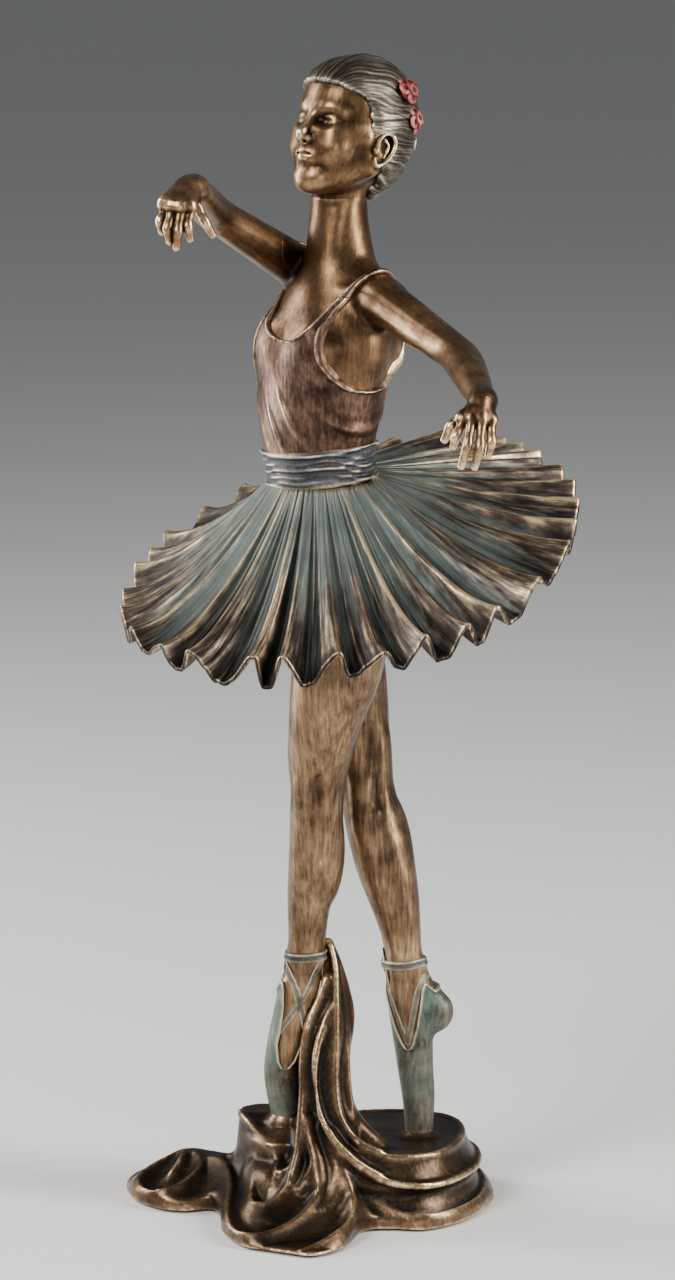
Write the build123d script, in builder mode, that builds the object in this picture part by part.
"""Ballerina statuette: a cast figure en pointe on a swirling drapery base.

Millimetres. +Z is up, +X to the right and +Y away from whoever faces the front.
The origin is on the resting face, under the middle of the base.
The figure is cast in sections that meet face to face on steel rods and dowels.
"""

import os

from build123d import *

os.makedirs("parts", exist_ok=True)

# Driving dimensions
FELT_THICKNESS = 1.2
FELT_RECESS = 0.6
FELT_SCALE = 0.88
FLANGE_SCALE = 0.96
FLANGE_TOP = 6.0
TERRACE_TOP = 11.5
PLATE_TOP = 18.0
LOBE_TOP = 25.5
DRAPE_TOP = 71.0
THIGH_JOINT = 166.0
WAIST_JOINT = 190.5
SASH_TOP = 200.5
NECK_JOINT = 248.0
CLOTH = 0.9
RIBBON = 0.7
PIN_CLEARANCE = 0.05
BODY_TURN = -50.0
HEAD_TURN = -48.0
HEM_RADIUS = 59.5
SKIRT_THICKNESS = 2.6
SKIRT_RISE = 20.5

# Directions of the turned figure: to its left side and to its front
BODY_LEFT = Vector(1, 0, 0).rotate(Axis.Z, BODY_TURN)
BODY_FRONT = Vector(0, -1, 0).rotate(Axis.Z, BODY_TURN)
FACE_FRONT = Vector(0, -1, 0).rotate(Axis.Z, HEAD_TURN)

# Arm joints
LEFT_SHOULDER = Vector(17.9, -14, 239.4)
LEFT_ELBOW = Vector(36.1, -44, 228.5)
LEFT_WRIST = Vector(40.5, -76, 222.2)
RIGHT_SHOULDER = Vector(-2.8, 14, 245.2)
RIGHT_ELBOW = Vector(-25.7, -14, 261.6)
RIGHT_WRIST = Vector(-28, -46, 269.6)
SKULL = Vector(8.8, 1.2, 0)

# Steel pins: (lower end, upper end, radius)
LEG_RODS = [
    (Vector(-8, 2, 12), Vector(-4.8, 0, 58), 0.9),
    (Vector(27.6, 6.3, 8), Vector(23.4, 7.2, 66), 0.9),
]
HIP_DOWELS = [
    (Vector(9, -7.5, THIGH_JOINT - 7), Vector(9, -7.5, THIGH_JOINT + 7), 1.2),
    (Vector(0.6, 9.3, THIGH_JOINT - 7), Vector(0.6, 9.3, THIGH_JOINT + 7), 1.2),
]
WAIST_ROD = [(Vector(2.5, 0, 176), Vector(2.5, 0, 212), 1.5)]
NECK_DOWEL = [(Vector(6.6, 1.5, 240), Vector(6.7, 1.9, 258), 1.2)]
DRAPE_DOWEL = [(Vector(3.4, -1.5, 6), Vector(3.4, -1.5, 32), 1.2)]


def dowel_across(joint, toward, reach, radius):
    """A pin centred on a joint, along the way to another point."""
    way = (toward - joint).normalized() * reach
    return (joint - way, joint + way, radius)


SHOULDER_DOWELS = [
    dowel_across(LEFT_SHOULDER, LEFT_ELBOW, 7, 1.0),
    dowel_across(RIGHT_SHOULDER, RIGHT_ELBOW, 7, 1.0),
]
WRIST_DOWELS = [
    dowel_across(LEFT_WRIST, LEFT_ELBOW, 3.5, 0.6),
    dowel_across(RIGHT_WRIST, RIGHT_ELBOW, 3.5, 0.6),
]


def finish(piece, name):
    """Labels a finished piece and writes it."""
    piece.part.label = name
    export_step(piece.part, f"parts/{name}.step")


def pins(ends, extra=0.0):
    """Round pins, each between two ends."""
    with BuildPart() as made:
        for low, high, radius in ends:
            with BuildSketch(Plane(origin=low, z_dir=high - low)):
                Circle(radius + extra)
            extrude(amount=(high - low).length)
    return made.part


def bores(*groups):
    """The holes that groups of pins slide into."""
    return pins([pin for group in groups for pin in group], PIN_CLEARANCE)


def level_body(sections, turn=0.0, grow=0.0):
    """A body through level ellipses: (x, y, z, half width, half depth), lowest first.

    Growing it makes a skin over the same body, on its sides and its top.
    """
    top = sections[-1][2]
    with BuildPart() as made:
        for x, y, z, wide, deep in sections:
            height = z + grow if z == top else z
            with BuildSketch(Plane(origin=(x, y, height)).rotated((0, 0, turn))):
                Ellipse(wide + grow, deep + grow)
        loft(ruled=True)
    return made.part


def limb(stations):
    """A round limb through (point, radius) stations, with a ball at its first end."""
    points = [point for point, _ in stations]
    with BuildPart() as made:
        for i, (point, radius) in enumerate(stations):
            way = points[min(i + 1, len(points) - 1)] - points[max(i - 1, 0)]
            with BuildSketch(Plane(origin=point, x_dir=Vector(0, 0, 1).cross(way), z_dir=way)):
                Circle(radius)
        loft(ruled=True)
        with Locations(points[0]):
            Sphere(stations[0][1])
    return made.part


def rounded_bar(start, end, radius):
    """A bar with ball ends, such as a finger."""
    with BuildPart() as made:
        with BuildSketch(Plane(origin=start, z_dir=end - start)):
            Circle(radius)
        extrude(amount=(end - start).length)
        with Locations(start, end):
            Sphere(radius)
    return made.part


def front_plane(origin, front):
    """A plane that faces the figure's front, with its own Y upright."""
    return Plane(origin=origin, x_dir=front.cross(Vector(0, 0, -1)), z_dir=front)


# The base's outline is three lobes of gathered cloth
BASE_OUTLINE = [
    (-3, -42), (8, -36), (14, -20), (28, -19), (40, -9), (46, 14), (40, 31), (22, 37), (2, 33),
    (-20, 30), (-38, 27), (-49, 20), (-45, 6), (-34, -1), (-25, -4), (-23, -20), (-15, -34),
]


def base_face(z, share):
    """The base's outline at a height, drawn at a share of its full size about the base's middle."""
    with BuildSketch(Plane.XY.offset(z)) as made:
        with BuildLine():
            Spline(*[(x * share, y * share) for x, y in BASE_OUTLINE], periodic=True)
        make_face()
    return made.sketch


with BuildPart() as felt_pad:
    add(base_face(0, FELT_SCALE))
    extrude(amount=FELT_THICKNESS)
finish(felt_pad, "felt_pad")

with BuildPart() as base:
    add(base_face(FELT_RECESS, 1))
    add(base_face(FLANGE_TOP, FLANGE_SCALE))
    loft()
    # right-hand terrace and the plate that the rear foot stands on
    with BuildSketch(Plane((26.5, 9, FLANGE_TOP - 1))):
        Ellipse(17, 26)
    extrude(amount=TERRACE_TOP - FLANGE_TOP + 1, taper=5)
    with BuildSketch(Plane((24.5, 9, TERRACE_TOP - 1))):
        Ellipse(15.5, 24)
    extrude(amount=PLATE_TOP - TERRACE_TOP + 1, taper=4)
    # centre swirl, and the raised lobe under the front foot
    with BuildSketch(Plane((-4, -10, FLANGE_TOP - 1))):
        Ellipse(15, 22)
    extrude(amount=TERRACE_TOP - FLANGE_TOP + 1, taper=20)
    with BuildSketch(Plane((-7, 4, FLANGE_TOP - 1))):
        Ellipse(14, 19)
    extrude(amount=LOBE_TOP - FLANGE_TOP + 1, taper=22)
    # left-hand lobe
    with BuildSketch(Plane((-37, 12, FLANGE_TOP - 1))):
        Ellipse(11, 11)
    extrude(amount=5, taper=25)
    add(felt_pad.part, mode=Mode.SUBTRACT)
    add(bores(LEG_RODS, DRAPE_DOWEL), mode=Mode.SUBTRACT)
finish(base, "base")

# Legs: level sections down each leg to the arch of its foot
LEFT_LEG = [
    (-6.2, 0.2, 46, 4.2, 4.6), (-3.9, -0.2, 58, 4.7, 5.0), (-2, -0.5, 69, 4.8, 4.8),
    (-1.3, -2, 84, 5.6, 6.2), (0.3, -3.5, 97, 6.6, 7.4), (0.6, -5, 113, 6.9, 7.0),
    (2.4, -7, 128, 9.2, 8.8), (5.9, -8, 144, 11.7, 10.6), (9, -7.5, THIGH_JOINT, 12.4, 11.4),
]
RIGHT_LEG = [
    (25.2, 6.4, 47, 4.2, 4.6), (23.8, 7, 57, 4.8, 5.2), (23.4, 7.4, 66, 4.8, 4.8),
    (21, 7.6, 79.6, 6.5, 6.5), (17.3, 8.5, 96, 8.0, 7.8), (13.3, 9.2, 110, 7.3, 7.4),
    (9.5, 10.2, 128, 9.4, 9.0), (7.3, 10.6, 141, 10.8, 9.8), (0.6, 9.3, THIGH_JOINT, 11.4, 10.4),
]

with BuildPart() as left_leg:
    add(level_body(LEFT_LEG))
    add(bores(LEG_RODS, HIP_DOWELS), mode=Mode.SUBTRACT)
finish(left_leg, "left_leg")

with BuildPart() as right_leg:
    add(level_body(RIGHT_LEG))
    add(level_body(LEFT_LEG), mode=Mode.SUBTRACT)
    add(bores(LEG_RODS, HIP_DOWELS), mode=Mode.SUBTRACT)
finish(right_leg, "right_leg")

# Pointe shoes: a block under the toes and a low upper, open over the instep
LEFT_SHOE = [
    (-7.6, 2.2, LOBE_TOP, 3.1, 3.1), (-8, 1.6, 31, 3.9, 3.9), (-8.4, 1.1, 38, 4.6, 4.7),
    (-6.3, 0.6, 47.5, 5.1, 5.4), (-4.4, 0.4, 57, 5.6, 5.9),
]
RIGHT_SHOE = [
    (27, 6.5, PLATE_TOP, 2.8, 2.8), (27.1, 6.5, 29, 3.5, 3.5), (26, 6.4, 37, 4.0, 4.3),
    (25.5, 6.4, 46, 5.0, 5.2), (24.6, 6.8, 56, 5.6, 5.8),
]

with BuildPart() as left_shoe:
    add(level_body(LEFT_SHOE))
    with Locations((0.6, 4.6, 52)):
        Sphere(3.8)
    add(level_body(LEFT_LEG), mode=Mode.SUBTRACT)
    with BuildSketch(front_plane((-6, 0, 56), BODY_FRONT)):
        Ellipse(4.6, 11)
    extrude(amount=12, mode=Mode.SUBTRACT)
    add(bores(LEG_RODS), mode=Mode.SUBTRACT)
finish(left_shoe, "left_shoe")

with BuildPart() as right_shoe:
    add(level_body(RIGHT_SHOE))
    with Locations((31.4, 8.4, 49.6)):
        Sphere(4.4)
    add(level_body(RIGHT_LEG), mode=Mode.SUBTRACT)
    with BuildSketch(front_plane((24.6, 6.6, 56), BODY_FRONT)):
        Ellipse(4.4, 11)
    extrude(amount=12, mode=Mode.SUBTRACT)
    add(bores(LEG_RODS), mode=Mode.SUBTRACT)
finish(right_shoe, "right_shoe")


def ankle_band(leg, x, y, z):
    """A ribbon wound round an ankle, slightly tilted."""
    with BuildPart() as made:
        add(level_body(leg, grow=RIBBON))
        with BuildSketch(Plane(origin=(x, y, z), z_dir=(-0.12, -0.1, 1))):
            Circle(9)
        extrude(amount=2.4, mode=Mode.INTERSECT)
        add(level_body(leg), mode=Mode.SUBTRACT)
    return made


def crossed_ribbons(leg, shoe, centre, spread, length):
    """Two ribbons that cross over the instep, on the skin between the shoe and the ankle band."""
    with BuildPart() as made:
        add(level_body(leg, grow=RIBBON))
        with BuildSketch(front_plane(centre, BODY_FRONT)):
            with Locations((0, 0)):
                Rectangle(1.7, length, rotation=spread)
                Rectangle(1.7, length, rotation=-spread)
        extrude(amount=12, mode=Mode.INTERSECT)
        add(level_body(leg), mode=Mode.SUBTRACT)
        add(shoe.part, mode=Mode.SUBTRACT)
    return made


left_ankle_ribbon = ankle_band(LEFT_LEG, -2, -0.5, 66.6)
finish(left_ankle_ribbon, "left_ankle_ribbon")
right_ankle_ribbon = ankle_band(RIGHT_LEG, 23.4, 7.4, 62.4)
finish(right_ankle_ribbon, "right_ankle_ribbon")
left_crossed_ribbons = crossed_ribbons(LEFT_LEG, left_shoe, (-4.6, 0, 57.2), 25, 17.5)
finish(left_crossed_ribbons, "left_crossed_ribbons")
right_crossed_ribbons = crossed_ribbons(RIGHT_LEG, right_shoe, (24.6, 6.8, 54.4), 22, 14.5)
finish(right_crossed_ribbons, "right_crossed_ribbons")

with BuildPart() as rising_drape:
    add(level_body([
        (3.5, -5, 14, 10, 9), (4.2, -4, 26, 8, 7), (4, -3, 38, 6.4, 5.4), (6, -1.5, 50, 5, 4.4),
        (5.6, 0.5, 62, 3.2, 2.8), (3.6, 1.6, DRAPE_TOP, 0.9, 0.9),
    ]))
    add(base.part, mode=Mode.SUBTRACT)
    add(level_body(LEFT_SHOE, grow=0.1), mode=Mode.SUBTRACT)
    with Locations((0.6, 4.6, 52)):
        Sphere(3.9, mode=Mode.SUBTRACT)
    add(level_body(LEFT_LEG, grow=RIBBON + 0.1), mode=Mode.SUBTRACT)
    add(bores(DRAPE_DOWEL, LEG_RODS), mode=Mode.SUBTRACT)
finish(rising_drape, "rising_drape")

HIP_SECTIONS = [
    (4.6, 0.9, THIGH_JOINT, 20.5, 12.5), (4.4, 0.7, 176, 18.5, 13.5), (2.4, 0, WAIST_JOINT, 14.2, 11.6),
]
TORSO_SECTIONS = [
    (2.4, 0, WAIST_JOINT, 14.2, 11.6), (0.8, 0, 201, 15.0, 12.7), (2, 0.2, 212, 17.8, 14.0),
    (3.4, 0.4, 226, 20.2, 14.9), (4.8, 0.6, 236, 19.4, 13.4), (6, 0.9, 243, 15.2, 10),
    (6.5, 1.4, NECK_JOINT, 9, 7.8),
]
SASH_SECTIONS = [(2.4, 0, WAIST_JOINT, 15.8, 13.2), (0.9, 0, SASH_TOP, 16.7, 14.3)]

with BuildPart() as hips:
    add(level_body(HIP_SECTIONS, BODY_TURN))
    add(bores(HIP_DOWELS, WAIST_ROD), mode=Mode.SUBTRACT)
finish(hips, "hips")

# Skirt: a flared shell whose axis leans to the figure's front
hem_centre = Vector(8.5, 5, 172.4)
skirt_axis = Vector(-0.239, -0.284, 0.928)
skirt_radius = skirt_axis.cross(Vector(1, 1, 0)).normalized()

with BuildPart() as tutu:
    with BuildSketch(Plane(origin=hem_centre, x_dir=skirt_radius, z_dir=skirt_radius.cross(skirt_axis))):
        with BuildLine():
            upper = Spline((11, SKIRT_RISE), (26, 11.5), (HEM_RADIUS, SKIRT_THICKNESS / 2),
                           tangents=[(1, -1.1), (1, -0.3)])
            lower = Spline((11, SKIRT_RISE - 2 * SKIRT_THICKNESS), (26, 11.5 - SKIRT_THICKNESS),
                           (HEM_RADIUS, -SKIRT_THICKNESS / 2), tangents=[(1, -1.1), (1, -0.3)])
            Line(upper @ 0, lower @ 0)
            Line(upper @ 1, lower @ 1)
        make_face()
    revolve(axis=Axis(hem_centre, skirt_axis))
    for sections, turn in (
        (HIP_SECTIONS, BODY_TURN), (TORSO_SECTIONS, BODY_TURN), (SASH_SECTIONS, BODY_TURN),
        (LEFT_LEG, 0), (RIGHT_LEG, 0),
    ):
        add(level_body(sections, turn), mode=Mode.SUBTRACT)
finish(tutu, "tutu")

with BuildPart() as torso:
    add(level_body(TORSO_SECTIONS, BODY_TURN))
    add(bores(WAIST_ROD, NECK_DOWEL, SHOULDER_DOWELS), mode=Mode.SUBTRACT)
finish(torso, "torso")

with BuildPart() as leotard:
    add(level_body(TORSO_SECTIONS, BODY_TURN, grow=CLOTH))
    with BuildSketch(Plane.XY.offset(SASH_TOP)):
        Rectangle(90, 90)
    extrude(amount=240 - SASH_TOP, mode=Mode.INTERSECT)
    add(level_body(TORSO_SECTIONS, BODY_TURN), mode=Mode.SUBTRACT)
    # neckline in front, and an armhole on each side
    with BuildSketch(front_plane((5.6, 0.4, 241), BODY_FRONT)):
        Ellipse(8.6, 11.5)
    extrude(amount=30, mode=Mode.SUBTRACT)
    with BuildSketch(front_plane((5.6, 0.4, 237), BODY_LEFT)):
        Ellipse(9, 17)
    extrude(amount=30, both=True, mode=Mode.SUBTRACT)
finish(leotard, "leotard")


def shoulder_strap(side):
    """One strap over a shoulder; side is 1 for the figure's left and -1 for its right."""
    middle = Vector(6, 1, 0) + BODY_LEFT * (side * 11)
    with BuildPart() as made:
        add(level_body(TORSO_SECTIONS, BODY_TURN, grow=CLOTH))
        with BuildSketch(Plane(origin=middle + Vector(0, 0, 240)).rotated((0, 0, BODY_TURN))):
            Rectangle(2.6, 50)
        extrude(amount=NECK_JOINT - 240, mode=Mode.INTERSECT)
        add(level_body(TORSO_SECTIONS, BODY_TURN), mode=Mode.SUBTRACT)
    return made


left_strap = shoulder_strap(1)
finish(left_strap, "left_strap")
right_strap = shoulder_strap(-1)
finish(right_strap, "right_strap")

with BuildPart() as sash:
    add(level_body(SASH_SECTIONS, BODY_TURN))
    add(level_body(TORSO_SECTIONS, BODY_TURN), mode=Mode.SUBTRACT)
finish(sash, "sash")


def arm(shoulder, elbow, wrist):
    """An arm's stations from the shoulder to the wrist."""
    upper_arm = (shoulder + elbow) / 2
    forearm = (elbow + wrist) / 2
    return limb([(shoulder, 5.6), (upper_arm, 5.0), (elbow, 4.6), (forearm, 4.3), (wrist, 3.3)])


with BuildPart() as left_arm:
    add(arm(LEFT_SHOULDER, LEFT_ELBOW, LEFT_WRIST))
    for solid in (torso.part, leotard.part, left_strap.part, bores(SHOULDER_DOWELS, WRIST_DOWELS)):
        add(solid, mode=Mode.SUBTRACT)
finish(left_arm, "left_arm")

with BuildPart() as right_arm:
    add(arm(RIGHT_SHOULDER, RIGHT_ELBOW, RIGHT_WRIST))
    for solid in (torso.part, leotard.part, right_strap.part, bores(SHOULDER_DOWELS, WRIST_DOWELS)):
        add(solid, mode=Mode.SUBTRACT)
finish(right_arm, "right_arm")


def hand(forearm, wrist, knuckles, fingers, thumb):
    """A hand: its palm runs from the wrist to the knuckles, and each finger is (knuckle, tip)."""
    with BuildPart() as made:
        way = knuckles - wrist
        across = fingers[-1][0] - fingers[0][0]
        palm_middle = (wrist + knuckles) / 2
        palm_end = knuckles + way.normalized() * 2
        for point, wide, deep in ((wrist, 3.4, 3.1), (palm_middle, 4.4, 2.8), (palm_end, 4.9, 2.2)):
            with BuildSketch(Plane(origin=point, x_dir=across, z_dir=way)):
                Ellipse(wide, deep)
        loft(ruled=True)
        for knuckle, tip in fingers:
            add(rounded_bar(knuckle, tip, 1.1))
        add(rounded_bar(*thumb, 1.3))
        add(forearm.part, mode=Mode.SUBTRACT)
        add(bores(WRIST_DOWELS), mode=Mode.SUBTRACT)
    return made


left_hand = hand(
    left_arm, LEFT_WRIST, Vector(39, -86, 219.5),
    [
        (Vector(35.2, -86, 218.6), Vector(33.3, -87, 209.5)),
        (Vector(37.7, -87, 219.4), Vector(35.2, -89, 206.5)),
        (Vector(40.2, -87, 219.4), Vector(38.4, -89, 206.6)),
        (Vector(42.6, -86, 218.8), Vector(41.4, -87, 208.8)),
    ],
    (Vector(35.6, -79, 219), Vector(31.2, -81, 211.5)),
)
finish(left_hand, "left_hand")

right_hand = hand(
    right_arm, RIGHT_WRIST, Vector(-31.2, -56, 266),
    [
        (Vector(-34.8, -56, 265), Vector(-36, -58, 258.8)),
        (Vector(-32.6, -57, 265.6), Vector(-34, -60, 256.8)),
        (Vector(-30.2, -57, 265.6), Vector(-31.8, -60, 256)),
        (Vector(-28, -56, 265), Vector(-29.2, -59, 259)),
    ],
    (Vector(-27, -50, 266), Vector(-23.8, -52, 258.6)),
)
finish(right_hand, "right_hand")

# Head: sections from the chin up, each pushed towards the face by its last value
HEAD_LEVELS = [
    (264.6, 4.6, 3.8, 9.4), (269, 8.8, 8.8, 5.4), (275.5, 11.6, 13.6, 2.2), (283.5, 12.6, 15.4, 0.2),
    (291, 11.4, 14.0, -0.8), (296.6, 7.6, 9.4, -0.9), (298.9, 2.8, 3.6, -0.9),
]
HEAD_SECTIONS = [
    ((SKULL + FACE_FRONT * ahead).X, (SKULL + FACE_FRONT * ahead).Y, z, wide, deep)
    for z, wide, deep, ahead in HEAD_LEVELS
]
NECK_SECTIONS = [(6.5, 1.4, NECK_JOINT, 8.0, 7.6), (6.5, 1.8, 256, 7.4, 7.2), (6.6, 2.4, 271, 7.6, 7.8)]

with BuildPart() as head:
    add(level_body(HEAD_SECTIONS, HEAD_TURN))
    add(level_body(NECK_SECTIONS, HEAD_TURN))
    add(bores(NECK_DOWEL), mode=Mode.SUBTRACT)
finish(head, "head")

hairline = Plane(origin=SKULL + FACE_FRONT * 4 + Vector(0, 0, 284), z_dir=FACE_FRONT + Vector(0, 0, -0.85))

with BuildPart() as hair:
    add(level_body(HEAD_SECTIONS, HEAD_TURN, grow=1.1))
    add(level_body(HEAD_SECTIONS, HEAD_TURN), mode=Mode.SUBTRACT)
    add(level_body(NECK_SECTIONS, HEAD_TURN), mode=Mode.SUBTRACT)
    split(bisect_by=hairline, keep=Keep.BOTTOM)
finish(hair, "hair")

bun_centre = SKULL - FACE_FRONT * 15 + Vector(0, 0, 281)

with BuildPart() as hair_bun:
    with Locations(bun_centre):
        Sphere(6.6)
    add(level_body(HEAD_SECTIONS, HEAD_TURN, grow=1.1), mode=Mode.SUBTRACT)
finish(hair_bun, "hair_bun")


def flower(centre, radius):
    """A small open flower: five round petals about a button, its back cut to the hair."""
    outward = centre - SKULL - Vector(0, 0, 282)
    face = Plane(origin=centre, z_dir=outward)
    with BuildPart() as made:
        with BuildSketch(face):
            with PolarLocations(radius * 0.55, 5):
                Circle(radius * 0.5)
        extrude(amount=1.4, both=True)
        with Locations(face.offset(1.4)):
            Sphere(radius * 0.45)
        add(level_body(HEAD_SECTIONS, HEAD_TURN, grow=1.1), mode=Mode.SUBTRACT)
        add(hair_bun.part, mode=Mode.SUBTRACT)
    return made


upper_flower = flower(Vector(21.8, -1.6, 289.8), 3.6)
finish(upper_flower, "upper_flower")
lower_flower = flower(Vector(23.6, 0.4, 283), 3.4)
finish(lower_flower, "lower_flower")

for group_name, group in (
    ("leg_rods", LEG_RODS),
    ("hip_dowels", HIP_DOWELS),
    ("waist_rod", WAIST_ROD),
    ("neck_dowel", NECK_DOWEL),
    ("shoulder_dowels", SHOULDER_DOWELS),
    ("wrist_dowels", WRIST_DOWELS),
    ("drape_dowel", DRAPE_DOWEL),
):
    with BuildPart() as steel:
        add(pins(group))
    finish(steel, group_name)
